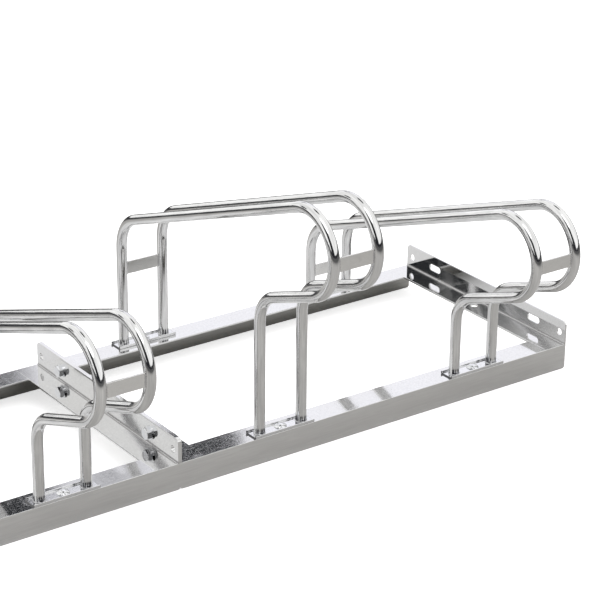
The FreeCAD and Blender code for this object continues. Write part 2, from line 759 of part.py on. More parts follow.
SOLIDS_PER_GROUP = {
    "foot_bolts": 2 * holder_count,
    "foot_bolt_washers": 2 * holder_count,
    "foot_bolt_nuts": 2 * holder_count,
    "joint_bolts": 2,
    "joint_bolt_washers": 4,
    "joint_bolt_nuts": 2,
}

document.recompute()
for item in document.Objects:
    if "Invalid" in item.State or "Error" in item.State:
        raise ValueError("%s failed: %s" % (item.Label, item.State))
for body in subparts:
    shape = body.Shape
    if shape.isNull() or not shape.isValid():
        raise ValueError("%s has no valid shape" % body.Label)
    if len(shape.Solids) != SOLIDS_PER_GROUP.get(body.Label, 1):
        raise ValueError("%s has %d solids" % (body.Label, len(shape.Solids)))

os.makedirs("parts", exist_ok=True)
for body in subparts:
    body.Shape.exportStep("parts/%s.step" % body.Label)
    print("%-28s %9.0f mm3" % (body.Label, body.Shape.Volume))
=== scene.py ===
import math

import bmesh
import bpy
from mathutils import Matrix, Vector


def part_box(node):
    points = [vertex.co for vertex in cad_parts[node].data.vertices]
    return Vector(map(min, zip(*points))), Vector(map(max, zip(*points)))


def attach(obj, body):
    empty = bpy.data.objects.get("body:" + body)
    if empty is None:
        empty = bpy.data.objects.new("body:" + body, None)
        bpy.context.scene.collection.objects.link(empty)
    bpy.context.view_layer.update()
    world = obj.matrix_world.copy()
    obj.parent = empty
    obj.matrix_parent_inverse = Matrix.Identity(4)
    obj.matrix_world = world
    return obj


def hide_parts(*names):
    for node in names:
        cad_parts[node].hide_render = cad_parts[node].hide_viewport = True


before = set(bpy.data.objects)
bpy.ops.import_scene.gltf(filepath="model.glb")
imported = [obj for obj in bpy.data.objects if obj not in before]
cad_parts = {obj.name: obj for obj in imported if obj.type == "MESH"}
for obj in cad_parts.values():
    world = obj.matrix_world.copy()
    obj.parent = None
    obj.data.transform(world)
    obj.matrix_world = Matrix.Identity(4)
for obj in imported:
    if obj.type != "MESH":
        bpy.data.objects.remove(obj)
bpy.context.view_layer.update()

# ------------------------------------------------------------------------------------------------
# Rails and cross members
# Hot-rolled steel angle, 40 x 40 x 3 mm, cut, notched and punched, then dipped in zinc.  The bath
# leaves a fine crystal grain.  The rolled inner faces are rougher than the outside, and painted
# shade darkens them and the root of each upstand.
# ------------------------------------------------------------------------------------------------


def start_shader_group(name, inputs, outputs):
    """An empty shader node group with named number or vector sockets."""
    group = bpy.data.node_groups.new(name, "ShaderNodeTree")
    for socket, kind, value in inputs:
        made = group.interface.new_socket(name=socket, in_out="INPUT",
                                          socket_type="NodeSocket" + kind)
        made.default_value = value
    for socket, kind in outputs:
        group.interface.new_socket(name=socket, in_out="OUTPUT", socket_type="NodeSocket" + kind)
    return group, group.nodes.new("NodeGroupInput"), group.nodes.new("NodeGroupOutput")


def calculate(tree, operation, first, second=None, third=None):
    """A Math node; each operand is a number or a socket."""
    node = tree.nodes.new("ShaderNodeMath")
    node.operation = operation
    for index, operand in enumerate((first, second, third)):
        if operand is None:
            continue
        if isinstance(operand, (int, float)):
            node.inputs[index].default_value = operand
        else:
            tree.links.new(operand, node.inputs[index])
    return node.outputs[0]


def rescale(tree, value, low, high, new_low, new_high, smooth=False):
    """A Map Range node that keeps inside its new range."""
    node = tree.nodes.new("ShaderNodeMapRange")
    node.interpolation_type = "SMOOTHSTEP" if smooth else "LINEAR"
    for socket, number in zip(node.inputs[1:5], (low, high, new_low, new_high)):
        socket.default_value = number
    tree.links.new(value, node.inputs["Value"])
    return node.outputs["Result"]


def blend_colours(tree, factor, first, second):
    """A colour Mix node; each colour is a tuple or a socket."""
    node = tree.nodes.new("ShaderNodeMix")
    node.data_type = "RGBA"
    tree.links.new(factor, node.inputs["Factor"])
    for socket, colour in ((node.inputs["A"], first), (node.inputs["B"], second)):
        if isinstance(colour, tuple):
            socket.default_value = (*colour, 1)
        else:
            tree.links.new(colour, socket)
    return node.outputs["Result"]


def stretched_place(tree, stretch):
    """Object coordinates times a stretch vector, so a pattern can run along a piece."""
    place = tree.nodes.new("ShaderNodeTexCoord").outputs["Object"]
    node = tree.nodes.new("ShaderNodeVectorMath")
    node.operation = "MULTIPLY"
    tree.links.new(place, node.inputs[0])
    tree.links.new(stretch, node.inputs[1])
    return node.outputs["Vector"]


def make_zinc_grain():
    """The crystal grain of a zinc coat: a tone from 0 to 1 and a height."""
    group, given, result = start_shader_group(
        "zinc grain",
        (("Stretch", "Vector", (1, 1, 1)), ("Crystals per Metre", "Float", 400.0)),
        (("Tone", "Float"), ("Height", "Float")),
    )
    place = stretched_place(group, given.outputs["Stretch"])
    crystals = group.nodes.new("ShaderNodeTexVoronoi")
    crystals.feature = "F1"
    group.links.new(place, crystals.inputs["Vector"])
    group.links.new(given.outputs["Crystals per Metre"], crystals.inputs["Scale"])
    facet = group.nodes.new("ShaderNodeSeparateColor")
    group.links.new(crystals.outputs["Color"], facet.inputs["Color"])
    frost = group.nodes.new("ShaderNodeTexNoise")
    frost.inputs["Detail"].default_value = 3
    frost.inputs["Roughness"].default_value = 0.6
    group.links.new(place, frost.inputs["Vector"])
    frost_scale = calculate(group, "MULTIPLY", given.outputs["Crystals per Metre"], 1.7)
    group.links.new(frost_scale, frost.inputs["Scale"])
    tone = calculate(group, "ADD",
                     calculate(group, "MULTIPLY", facet.outputs["Red"], 0.45),
                     calculate(group, "MULTIPLY", frost.outputs["Fac"], 0.55))
    group.links.new(tone, result.inputs["Tone"])
    height = calculate(group, "ADD",
                       calculate(group, "MULTIPLY", facet.outputs["Green"], 0.5),
                       calculate(group, "MULTIPLY", frost.outputs["Fac"], 0.5))
    group.links.new(height, result.inputs["Height"])
    return group


def make_zinc_clouds():
    """The slow drift of a coat's colour and gloss over a hand's width, with a few dull smudges."""
    group, given, result = start_shader_group(
        "zinc clouds",
        (("Stretch", "Vector", (1, 1, 1)), ("Clouds per Metre", "Float", 14.0)),
        (("Drift", "Float"), ("Smudge", "Float")),
    )
    place = stretched_place(group, given.outputs["Stretch"])
    drift = group.nodes.new("ShaderNodeTexNoise")
    drift.inputs["Detail"].default_value = 4
    group.links.new(place, drift.inputs["Vector"])
    group.links.new(given.outputs["Clouds per Metre"], drift.inputs["Scale"])
    drifting = rescale(group, drift.outputs["Fac"], 0.3, 0.7, 0, 1, smooth=True)
    group.links.new(drifting, result.inputs["Drift"])
    smudge = group.nodes.new("ShaderNodeTexNoise")
    smudge.inputs["Detail"].default_value = 5
    smudge.inputs["Distortion"].default_value = 0.6
    group.links.new(place, smudge.inputs["Vector"])
    smudge_scale = calculate(group, "MULTIPLY", given.outputs["Clouds per Metre"], 2.3)
    group.links.new(smudge_scale, smudge.inputs["Scale"])
    smudged = rescale(group, smudge.outputs["Fac"], 0.56, 0.72, 0, 1, smooth=True)
    group.links.new(smudged, result.inputs["Smudge"])
    return group


def make_fine_scratches():
    """Hair-fine scratches from handling, as a mask from 0 to 1."""
    group, given, result = start_shader_group(
        "fine scratches",
        (("Turn", "Vector", (0.6, 0.35, 0.8)), ("Scratches per Metre", "Float", 30.0)),
        (("Scratch", "Float"),),
    )
    place = group.nodes.new("ShaderNodeTexCoord").outputs["Object"]
    mapping = group.nodes.new("ShaderNodeMapping")
    group.links.new(place, mapping.inputs["Vector"])
    group.links.new(given.outputs["Turn"], mapping.inputs["Rotation"])
    # The pattern is squeezed across, which draws its blots out into lines.
    mapping.inputs["Scale"].default_value = (1, 18, 18)
    lines = group.nodes.new("ShaderNodeTexNoise")
    lines.inputs["Detail"].default_value = 2
    group.links.new(mapping.outputs["Vector"], lines.inputs["Vector"])
    group.links.new(given.outputs["Scratches per Metre"], lines.inputs["Scale"])
    thin = calculate(group, "ABSOLUTE", calculate(group, "SUBTRACT", lines.outputs["Fac"], 0.5))
    group.links.new(rescale(group, thin, 0.0, 0.012, 1, 0), result.inputs["Scratch"])
    return group


zinc_grain = make_zinc_grain()
zinc_clouds = make_zinc_clouds()
fine_scratches = make_fine_scratches()


def place_group(tree, group, **values):
    """A group in a material, with its inputs set by name."""
    node = tree.nodes.new("ShaderNodeGroup")
    node.node_tree = group
    for name, value in values.items():
        node.inputs[name.replace("_", " ")].default_value = value
    return node


def start_zinc(name):
    """A metal material whose own shader waits for its colour, gloss and relief."""
    material = bpy.data.materials.new(name)
    material.use_nodes = True
    shader = material.node_tree.nodes["Principled BSDF"]
    shader.inputs["Metallic"].default_value = 1.0
    return material, material.node_tree, shader


def add_relief(tree, shader, height, strength, depth):
    """A Bump node on the shader's normal; depth is in metres."""
    bump = tree.nodes.new("ShaderNodeBump")
    bump.inputs["Strength"].default_value = strength
    bump.inputs["Distance"].default_value = depth
    tree.links.new(height, bump.inputs["Height"])
    tree.links.new(bump.outputs["Normal"], shader.inputs["Normal"])


def object_place(tree):
    """Object coordinates, split in X, Y and Z."""
    place = tree.nodes.new("ShaderNodeTexCoord").outputs["Object"]
    split = tree.nodes.new("ShaderNodeSeparateXYZ")
    tree.links.new(place, split.inputs["Vector"])
    return split.outputs["X"], split.outputs["Y"], split.outputs["Z"]


def make_angle_zinc(name, rolled_stretch, inside_mask, root_mask=None):
    """The coat on rolled angle.  The masks give 1 where shade is painted: on the inner faces and in
    the root.
    """
    material, tree, shader = start_zinc(name)
    place = object_place(tree)
    # Rolling draws the pattern out on the sides of a rail, and its top keeps round crystals.
    on_top = rescale(tree, place[2], rail_height - 0.0006, rail_height - 0.0002, 0, 1)
    stretch = blend_colours(tree, on_top, rolled_stretch, (1.0, 1.0, 1.0))
    grain = place_group(tree, zinc_grain, Crystals_per_Metre=520.0)
    tree.links.new(stretch, grain.inputs["Stretch"])
    clouds = place_group(tree, zinc_clouds, Clouds_per_Metre=9.0)
    tree.links.new(stretch, clouds.inputs["Stretch"])
    scratches = place_group(tree, fine_scratches, Scratches_per_Metre=26.0)
    crystals = blend_colours(tree, grain.outputs["Tone"], crystal_dark, crystal_light)
    outside = blend_colours(tree, calculate(tree, "MULTIPLY", clouds.outputs["Drift"], 0.25),
                            crystals, cloud_grey)
    rough = calculate(tree, "MULTIPLY_ADD", grain.outputs["Tone"], 0.04, 0.03)
    rough = calculate(tree, "MULTIPLY_ADD", clouds.outputs["Smudge"], 0.06, rough)
    rough = calculate(tree, "MULTIPLY_ADD", scratches.outputs["Scratch"], 0.05, rough)
    # Painted shade: a dark line along the root of each upstand.
    if root_mask:
        root = root_mask(tree, place)
        outside = blend_colours(tree, calculate(tree, "MULTIPLY", root, 0.45), outside, painted_root_shade)
        rough = calculate(tree, "MULTIPLY_ADD", root, 0.2, rough)
    # Painted shade: the inner faces under the lying leg get a darker colour, and are rougher too.
    painted_shade_colour = blend_colours(tree, grain.outputs["Tone"], painted_shade_dark, painted_shade_light)
    inside = inside_mask(tree, place)
    rough = calculate(tree, "MULTIPLY_ADD", inside, 0.2, rough)
    tree.links.new(blend_colours(tree, inside, outside, painted_shade_colour), shader.inputs["Base Color"])
    tree.links.new(rough, shader.inputs["Roughness"])
    add_relief(tree, shader, grain.outputs["Height"], 0.03, 0.0003)
    return material


def hypotenuse(tree, first, second):
    """The root of the sum of two squares."""
    return calculate(tree, "SQRT", calculate(
        tree, "ADD", calculate(tree, "MULTIPLY", first, first),
        calculate(tree, "MULTIPLY", second, second)))


def inside_of_a_rail(tree, place):
    """1 below the lying leg, on the faces that look towards the middle of the rack's depth: painted
    shade.
    """
    from_middle = calculate(tree, "ABSOLUTE", calculate(tree, "SUBTRACT", place[1], rack_middle))
    # The change from painted shade to bright runs from the inner face into the sheet, where no face
    # is.
    inward = rescale(tree, from_middle, rail_inner_face - 0.0002, rail_inner_face + 0.0006, 1, 0)
    return calculate(tree, "MULTIPLY", inward, underside_of_a_cross_member(tree, place))


def underside_of_a_cross_member(tree, place):
    """1 from the underside of the lying leg downwards, where shade is painted."""
    return rescale(tree, place[2], rail_height - 0.0028, rail_height - 0.0016, 1, 0)


def root_of_an_upstand(tree, place):
    """1 along the inner corner of an upstand and its cross member's lying leg: painted shade."""
    from_joint = calculate(tree, "ABSOLUTE", place[0])
    from_end = calculate(tree, "SUBTRACT", half_length, from_joint)
    from_plane = calculate(tree, "MINIMUM", from_joint, from_end)
    aside = calculate(tree, "SUBTRACT", from_plane, angle_sheet)
    up = calculate(tree, "SUBTRACT", place[2], rail_height)
    return rescale(tree, hypotenuse(tree, aside, up), 0.0008, 0.0048, 1, 0, smooth=True)


rail_low, rail_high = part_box("left_front_rail")
rear_low, rear_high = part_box("left_rear_rail")
rail_height = rail_high.z
half_length = -rail_low.x
rack_middle = (rail_low.y + rear_high.y) / 2
angle_sheet = 0.003
rail_inner_face = (rear_high.y - rail_low.y) / 2 - angle_sheet
crystal_dark, crystal_light = (0.66, 0.66, 0.665), (0.80, 0.80, 0.80)
cloud_grey = (0.66, 0.65, 0.63)
# Painted shade for the root line of each upstand.
painted_root_shade = (0.24, 0.23, 0.23)
# Painted shade for the inner faces under the lying leg.
painted_shade_dark, painted_shade_light = (0.19, 0.185, 0.165), (0.28, 0.27, 0.245)

rail_zinc = make_angle_zinc("rail zinc", rolled_stretch=(0.05, 1.0, 1.0),
                            inside_mask=inside_of_a_rail)
cross_zinc = make_angle_zinc("cross member zinc", rolled_stretch=(0.6, 0.6, 0.6),
                             inside_mask=underside_of_a_cross_member,
                             root_mask=root_of_an_upstand)


def coat(nodes, material):
    """Gives CAD nodes their material."""
    for name in nodes:
        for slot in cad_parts[name].material_slots:
            slot.material = material


coat(("left_front_rail", "left_rear_rail", "right_front_rail", "right_rear_rail"), rail_zinc)
cross_members = [
    "%s_module_%s_cross" % (module, side)
    for module in ("left", "right") for side in ("left", "right")
]
coat(cross_members, cross_zinc)

# ------------------------------------------------------------------------------------------------
# Channel feet
# Short shallow channels pressed from 2 mm sheet, with a square hole for the bolt's neck.  They
# stand on the rails, and the legs of a wheel holder are welded into them.
# ------------------------------------------------------------------------------------------------

holders = ["%s_%s" % (module, kind) for module in ("left", "right") for kind in ("high", "low")]
foot_sheet = 0.002
foot_floor = rail_height + foot_sheet


def foot_end_faces(tree):
    """1 on the two end faces of each foot."""
    x = object_place(tree)[0]
    within = calculate(tree, "FLOORED_MODULO", x, holder_pitch)
    from_bolt = calculate(tree, "ABSOLUTE", calculate(tree, "SUBTRACT", within, holder_pitch / 2))
    return rescale(tree, from_bolt, foot_span / 2 - 0.0004, foot_span / 2 - 0.0001, 0, 1)


def make_pressed_zinc(name, dark, light, least_rough, end_face_mask=None):
    """The smooth bright coat on sheet and flat bar, dark and rougher on the end faces a mask gives.
    """
    material, tree, shader = start_zinc(name)
    grain = place_group(tree, zinc_grain, Stretch=(0.6, 1, 1), Crystals_per_Metre=650.0)
    clouds = place_group(tree, zinc_clouds, Clouds_per_Metre=26.0)
    scratches = place_group(tree, fine_scratches, Scratches_per_Metre=40.0, Turn=(0.2, 0.9, 0.4))
    colour = blend_colours(tree, grain.outputs["Tone"], dark, light)
    smudged = blend_colours(tree, calculate(tree, "MULTIPLY", clouds.outputs["Smudge"], 0.4),
                            colour, smudge_grey)
    rough = calculate(tree, "MULTIPLY_ADD", grain.outputs["Tone"], 0.05, least_rough)
    rough = calculate(tree, "MULTIPLY_ADD", clouds.outputs["Drift"], 0.05, rough)
    rough = calculate(tree, "MULTIPLY_ADD", scratches.outputs["Scratch"], 0.06, rough)
    # When a mask is given, the end faces get a dark colour and more roughness.
    if end_face_mask:
        end_faces = end_face_mask(tree)
        smudged = blend_colours(tree, end_faces, smudged, end_face_dark)
        rough = calculate(tree, "MULTIPLY_ADD", end_faces, 0.25, rough)
    tree.links.new(smudged, shader.inputs["Base Color"])
    tree.links.new(rough, shader.inputs["Roughness"])
    add_relief(tree, shader, grain.outputs["Height"], 0.12, 0.0002)
    return material


first_low, first_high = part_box("left_high_front_foot")
second_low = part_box("left_low_front_foot")[0]
holder_pitch = second_low.x - first_low.x
foot_span = first_high.x - first_low.x
foot_dark, foot_light = (0.66, 0.665, 0.68), (0.80, 0.80, 0.81)
smudge_grey = (0.60, 0.59, 0.58)
end_face_dark = (0.12, 0.12, 0.125)
foot_zinc = make_pressed_zinc("foot zinc", foot_dark, foot_light, least_rough=0.05,
                              end_face_mask=foot_end_faces)
coat(["%s_%s_foot" % (holder, end) for holder in holders for end in ("front", "rear")], foot_zinc)

# ------------------------------------------------------------------------------------------------
# Nose bars and rear bars
# Flat steel, 20 x 3 mm, sawn to the tyre gap and welded between the two tubes of a holder.  They
# take the weight and the rubbing of a tyre, so they are duller than the feet.
# ------------------------------------------------------------------------------------------------

bar_dark, bar_light = (0.68, 0.675, 0.665), (0.79, 0.785, 0.775)
bar_zinc = make_pressed_zinc("flat bar zinc", bar_dark, bar_light, least_rough=0.13)
coat(["%s_%s_bar" % (holder, end) for holder in holders for end in ("nose", "rear")], bar_zinc)

# ------------------------------------------------------------------------------------------------
# Tubes
# Steel tube of 16 mm, cold bent in one plane and coated bright.  Drawing marks run the whole length
# of a tube, round its bends as well, because every point keeps its distance from the bending plane.
# ------------------------------------------------------------------------------------------------


def make_round_the_tube():
    """A place that runs fast round a tube and slowly along it, so that a pattern there streaks."""
    group, given, result = start_shader_group(
        "round the tube",
        (("Holder Pitch", "Float", 0.35), ("Tube Offset", "Float", 0.0355),
         ("Tube Radius", "Float", 0.008), ("Slowness", "Float", 0.06)),
        (("Place", "Vector"),),
    )
    x, y, z = object_place(group)
    pitch = given.outputs["Holder Pitch"]
    from_holder = calculate(group, "SUBTRACT", calculate(group, "FLOORED_MODULO", x, pitch),
                            calculate(group, "MULTIPLY", pitch, 0.5))
    aside = calculate(group, "SUBTRACT", calculate(group, "ABSOLUTE", from_holder),
                      given.outputs["Tube Offset"])
    share = calculate(group, "DIVIDE", aside, given.outputs["Tube Radius"])
    share = calculate(group, "MAXIMUM", calculate(group, "MINIMUM", share, 1.0), -1.0)
    turn = calculate(group, "ARCCOSINE", share)
    place = group.nodes.new("ShaderNodeCombineXYZ")
    around = calculate(group, "MULTIPLY", turn, given.outputs["Tube Radius"])
    # Each tube gets its own streaks, because its X is added once more, in steps of a pair's width.
    own = calculate(group, "SNAP", x, 0.071)
    group.links.new(calculate(group, "ADD", around, own), place.inputs["X"])
    group.links.new(calculate(group, "MULTIPLY", y, given.outputs["Slowness"]), place.inputs["Y"])
    group.links.new(calculate(group, "MULTIPLY", z, given.outputs["Slowness"]), place.inputs["Z"])
    group.links.new(place.outputs["Vector"], result.inputs["Place"])
    return group


def make_tube_zinc():
    """Bright zinc with streaks along the tube, with painted shade in places just above a foot's
    weld.
    """
    material, tree, shader = start_zinc("tube zinc")
    place = place_group(tree, round_the_tube)
    broad = tree.nodes.new("ShaderNodeTexNoise")
    broad.inputs["Scale"].default_value = 330.0
    broad.inputs["Detail"].default_value = 4
    broad.inputs["Roughness"].default_value = 0.62
    tree.links.new(place.outputs["Place"], broad.inputs["Vector"])
    marks = rescale(tree, broad.outputs["Fac"], 0.3, 0.7, 0, 1)
    grain = place_group(tree, zinc_grain, Crystals_per_Metre=1000.0)
    clouds = place_group(tree, zinc_clouds, Clouds_per_Metre=22.0)
    colour = blend_colours(tree, marks, streak_dark, streak_light)
    clouded = blend_colours(tree, calculate(tree, "MULTIPLY", clouds.outputs["Drift"], 0.25),
                            colour, tube_cloud)
    # Painted shade: dark patches on each leg just above the foot's floor.
    height = object_place(tree)[2]
    low_down = rescale(tree, height, leg_shade_full, leg_shade_gone, 1, 0, smooth=True)
    in_places = rescale(tree, marks, 0.42, 0.58, 1, 0, smooth=True)
    leg_shade_mask = calculate(tree, "MULTIPLY", low_down, in_places)
    leg_shaded_colour = blend_colours(tree, leg_shade_mask, clouded, painted_leg_shade)
    tree.links.new(leg_shaded_colour, shader.inputs["Base Color"])
    rough = calculate(tree, "MULTIPLY_ADD", marks, 0.05, 0.04)
    rough = calculate(tree, "MULTIPLY_ADD", clouds.outputs["Smudge"], 0.06, rough)
    tree.links.new(rough, shader.inputs["Roughness"])
    drawn = calculate(tree, "MULTIPLY_ADD", grain.outputs["Height"], 0.25, marks)
    add_relief(tree, shader, drawn, 0.15, 0.0003)
    return material


streak_dark, streak_light = (0.56, 0.56, 0.565), (0.86, 0.86, 0.86)
tube_cloud = (0.64, 0.635, 0.62)
# Painted shade on the legs just above a foot's floor.
painted_leg_shade = (0.07, 0.07, 0.08)
leg_shade_full, leg_shade_gone = foot_floor + 0.007, foot_floor + 0.011
round_the_tube = make_round_the_tube()
tube_zinc = make_tube_zinc()
coat(["%s_%s_tube" % (holder, side) for holder in holders for side in ("left", "right")], tube_zinc)

# ------------------------------------------------------------------------------------------------
# Weld beads
# Thin fillet welds, laid before the pieces were dipped, so they carry the same coat.  Rings run
# round each leg in its foot, short seams along the bar ends, and seams under the frame's corners.
# ------------------------------------------------------------------------------------------------


def make_weld_zinc():
    """The same coat on weld metal, darker and less even."""
    material, tree, shader = start_zinc("weld zinc")
    grain = place_group(tree, zinc_grain, Crystals_per_Metre=1500.0)
    colour = blend_colours(tree, grain.outputs["Tone"], weld_dark, weld_light)
    tree.links.new(colour, shader.inputs["Base Color"])
    rough = rescale(tree, grain.outputs["Tone"], 0, 1, 0.22, 0.36)
    tree.links.new(rough, shader.inputs["Roughness"])
    add_relief(tree, shader, grain.outputs["Height"], 0.3, 0.0002)
    return material


weld_dark, weld_light = (0.42, 0.42, 0.43), (0.74, 0.74, 0.75)
weld_zinc = make_weld_zinc()


def start_geometry_tree(name, inputs):
    """A Geometry Nodes tree with one geometry in, one out and named sizes."""
    tree = bpy.data.node_groups.new(name, "GeometryNodeTree")
    tree.interface.new_socket(name="Geometry", in_out="INPUT", socket_type="NodeSocketGeometry")
    for socket, kind, value in inputs:
        made = tree.interface.new_socket(name=socket, in_out="INPUT",
                                         socket_type="NodeSocket" + kind)
        if value is not None:
            made.default_value = value
    tree.interface.new_socket(name="Geometry", in_out="OUTPUT", socket_type="NodeSocketGeometry")
    return tree, tree.nodes.new("NodeGroupInput"), tree.nodes.new("NodeGroupOutput")


def make_bead_tree():
    """Lays a rippled bead along every edge path of a mesh."""
    tree, given, result = start_geometry_tree("weld bead", (
        ("Bead Width", "Float", 0.003),
        ("Ripple Pitch", "Float", 0.0012),
        ("Ripple Share", "Float", 0.10),
        ("Unevenness", "Float", 0.0003),
        ("Coat", "Material", None),
    ))
    link = tree.links.new
    path = tree.nodes.new("GeometryNodeMeshToCurve")
    link(given.outputs["Geometry"], path.inputs["Mesh"])
    fine = tree.nodes.new("GeometryNodeResampleCurve")
    fine.mode = "LENGTH"
    link(path.outputs["Curve"], fine.inputs["Curve"])
    link(calculate(tree, "MULTIPLY", given.outputs["Ripple Pitch"], 0.4), fine.inputs["Length"])
    along = tree.nodes.new("GeometryNodeSplineParameter").outputs["Length"]
    turns = calculate(tree, "DIVIDE", along, given.outputs["Ripple Pitch"])
    wave = calculate(tree, "SINE", calculate(tree, "MULTIPLY", turns, 2 * math.pi))
    swell = calculate(tree, "MULTIPLY_ADD", wave, given.outputs["Ripple Share"], 1.0)
    # An open seam tapers at both ends, and a ring doesn't.
    total = tree.nodes.new("GeometryNodeSplineLength").outputs["Length"]
    from_end = calculate(tree, "MINIMUM", along, calculate(tree, "SUBTRACT", total, along))
    ring = tree.nodes.new("GeometryNodeInputSplineCyclic").outputs["Cyclic"]
    taper = calculate(tree, "DIVIDE", from_end, given.outputs["Bead Width"])
    taper = calculate(tree, "ADD", taper, 0.4)
    taper = calculate(tree, "MINIMUM", calculate(tree, "ADD", taper, ring), 1.0)
    section = tree.nodes.new("GeometryNodeCurvePrimitiveCircle")
    section.inputs["Resolution"].default_value = 8
    link(calculate(tree, "MULTIPLY", given.outputs["Bead Width"], 0.5), section.inputs["Radius"])
    bead = tree.nodes.new("GeometryNodeCurveToMesh")
    bead.inputs["Fill Caps"].default_value = True
    link(fine.outputs["Curve"], bead.inputs["Curve"])
    link(section.outputs["Curve"], bead.inputs["Profile Curve"])
    link(calculate(tree, "MULTIPLY", swell, taper), bead.inputs["Scale"])
    lumps = tree.nodes.new("ShaderNodeTexNoise")
    lumps.inputs["Scale"].default_value = 600.0
    centred = tree.nodes.new("ShaderNodeVectorMath")
    centred.operation = "SUBTRACT"
    centred.inputs[1].default_value = (0.5, 0.5, 0.5)
    link(lumps.outputs["Color"], centred.inputs[0])
    push = tree.nodes.new("ShaderNodeVectorMath")
    push.operation = "SCALE"
    link(centred.outputs["Vector"], push.inputs[0])
    link(given.outputs["Unevenness"], push.inputs["Scale"])
    uneven = tree.nodes.new("GeometryNodeSetPosition")
    link(bead.outputs["Mesh"], uneven.inputs["Geometry"])
    link(push.outputs["Vector"], uneven.inputs["Offset"])
    smooth = tree.nodes.new("GeometryNodeSetShadeSmooth")
    link(uneven.outputs["Geometry"], smooth.inputs["Geometry"])
    finish_tree(tree, smooth.outputs["Geometry"], given.outputs["Coat"], result)
    return tree


def finish_tree(tree, geometry, material, result):
    """Realize Instances and Set Material, the end of each Geometry Nodes tree."""
    real = tree.nodes.new("GeometryNodeRealizeInstances")
    tree.links.new(geometry, real.inputs["Geometry"])
    coated = tree.nodes.new("GeometryNodeSetMaterial")
    tree.links.new(real.outputs["Geometry"], coated.inputs["Geometry"])
    tree.links.new(material, coated.inputs["Material"])
    tree.links.new(coated.outputs["Geometry"], result.inputs["Geometry"])


def add_to_scene(name, mesh):
    """An object at the origin, with its place in its mesh."""
    piece = bpy.data.objects.new(name, mesh)
    bpy.context.scene.collection.objects.link(piece)
    return piece


def grow(name, mesh, tree, **values):
    """Runs a Geometry Nodes tree on a mesh and keeps the result as a piece with a plain mesh."""
    piece = add_to_scene(name, mesh)
    modifier = piece.modifiers.new(tree.name, "NODES")
    modifier.node_group = tree
    sockets = {
        item.name: item.identifier for item in tree.interface.items_tree if item.in_out == "INPUT"
    }
    for label, value in values.items():
        modifier[sockets[label.replace("_", " ")]] = value
    finished = piece.evaluated_get(bpy.context.evaluated_depsgraph_get())
    grown = bpy.data.meshes.new_from_object(finished)
    piece.modifiers.remove(modifier)
    piece.data = grown
    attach(piece, "root")
    return piece


def line_mesh(name, paths):
    """A mesh of edges only.  Each path is a list of points, and True where it closes."""
    points, edges = [], []
    for path, closes in paths:
        first = len(points)
        points.extend(path)
        edges.extend((first + index, first + index + 1) for index in range(len(path) - 1))
        if closes:
            edges.append((len(points) - 1, first))
    mesh = bpy.data.meshes.new(name)
    mesh.from_pydata(points, edges, [])
    return mesh


def weld(name, paths, width):
    """One piece of weld beads, all of one width."""
    seams = grow(name, line_mesh(name, paths), bead_tree, Bead_Width=width, Coat=weld_zinc)


bead_tree = make_bead_tree()
leg_bead = 0.0018
leg_bead_lift = leg_bead * 0.12
bar_bead = 0.0018
corner_bead = 0.003
corner_seam_start = 0.15
corner_seam_end = 0.90
seam_margin = 0.002
ring_steps = 28
tube_radius = 0.008

leg_rings = []
bar_seams = []
for holder in holders:
    for side, inward in (("left", 1), ("right", -1)):
        low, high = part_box("%s_%s_tube" % (holder, side))
        across = (low.x + high.x) / 2
        for end in ("front", "rear"):
            foot_low, foot_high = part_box("%s_%s_foot" % (holder, end))
            middle = Vector((across, (foot_low.y + foot_high.y) / 2, foot_floor + leg_bead_lift))
            leg_rings.append(([
                middle + Matrix.Rotation(2 * math.pi * step / ring_steps, 3, "Z")
                @ Vector((tube_radius, 0, 0))
                for step in range(ring_steps)
            ], True))
        for end in ("nose", "rear"):
            bar_low, bar_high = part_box("%s_%s_bar" % (holder, end))
            seam_x = across + inward * tube_radius
            for y in (bar_low.y, bar_high.y):
                bar_seams.append(([
                    Vector((seam_x, y, bar_low.z + seam_margin)),
                    Vector((seam_x, y, bar_high.z - seam_margin)),
                ], False))
weld("leg_welds", leg_rings, leg_bead)
weld("bar_welds", bar_seams, bar_bead)

below_top = rail_height - angle_sheet
corner_seams = []
for name in cross_members:
    low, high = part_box(name)
    end_x, inner_x = (low.x, high.x) if name.endswith("left_cross") else (high.x, low.x)
    for face_y, inward, leg_end in (
        (rail_low.y + angle_sheet, 1, rail_high.y),
        (rear_high.y - angle_sheet, -1, rear_low.y),
    ):
        corner_seams.append(([
            Vector((end_x + (inner_x - end_x) * corner_seam_start, face_y, below_top)),
            Vector((end_x + (inner_x - end_x) * corner_seam_end, face_y, below_top)),
        ], False))
        corner_seams.append(([
            Vector((inner_x, face_y + inward * seam_margin, below_top)),
            Vector((inner_x, leg_end - inward * seam_margin, below_top)),
        ], False))
weld("corner_welds", corner_seams, corner_bead)

# ------------------------------------------------------------------------------------------------
# Foot bolts
# Domed steel bolts, M8 x 20, bright zinc plated, with a rolled thread.  A square neck holds each
# one in its foot's square hole, and a washer and a nut under the rail pull it down.
# ------------------------------------------------------------------------------------------------


def make_plated_zinc():
    """The thin bright plating of bolts and nuts, faintly blue."""
    material, tree, shader = start_zinc("bolt zinc")
    grain = place_group(tree, zinc_grain, Crystals_per_Metre=1800.0)
    clouds = place_group(tree, zinc_clouds, Clouds_per_Metre=90.0)
    colour = blend_colours(tree, grain.outputs["Tone"], plating_dark, plating_light)
    tinted = blend_colours(tree, calculate(tree, "MULTIPLY", clouds.outputs["Drift"], 0.3),
                           colour, plating_blue)
    tree.links.new(tinted, shader.inputs["Base Color"])
    rough = rescale(tree, clouds.outputs["Smudge"], 0, 1, 0.06, 0.20)
    tree.links.new(rough, shader.inputs["Roughness"])
    add_relief(tree, shader, grain.outputs["Height"], 0.08, 0.0001)
    return material


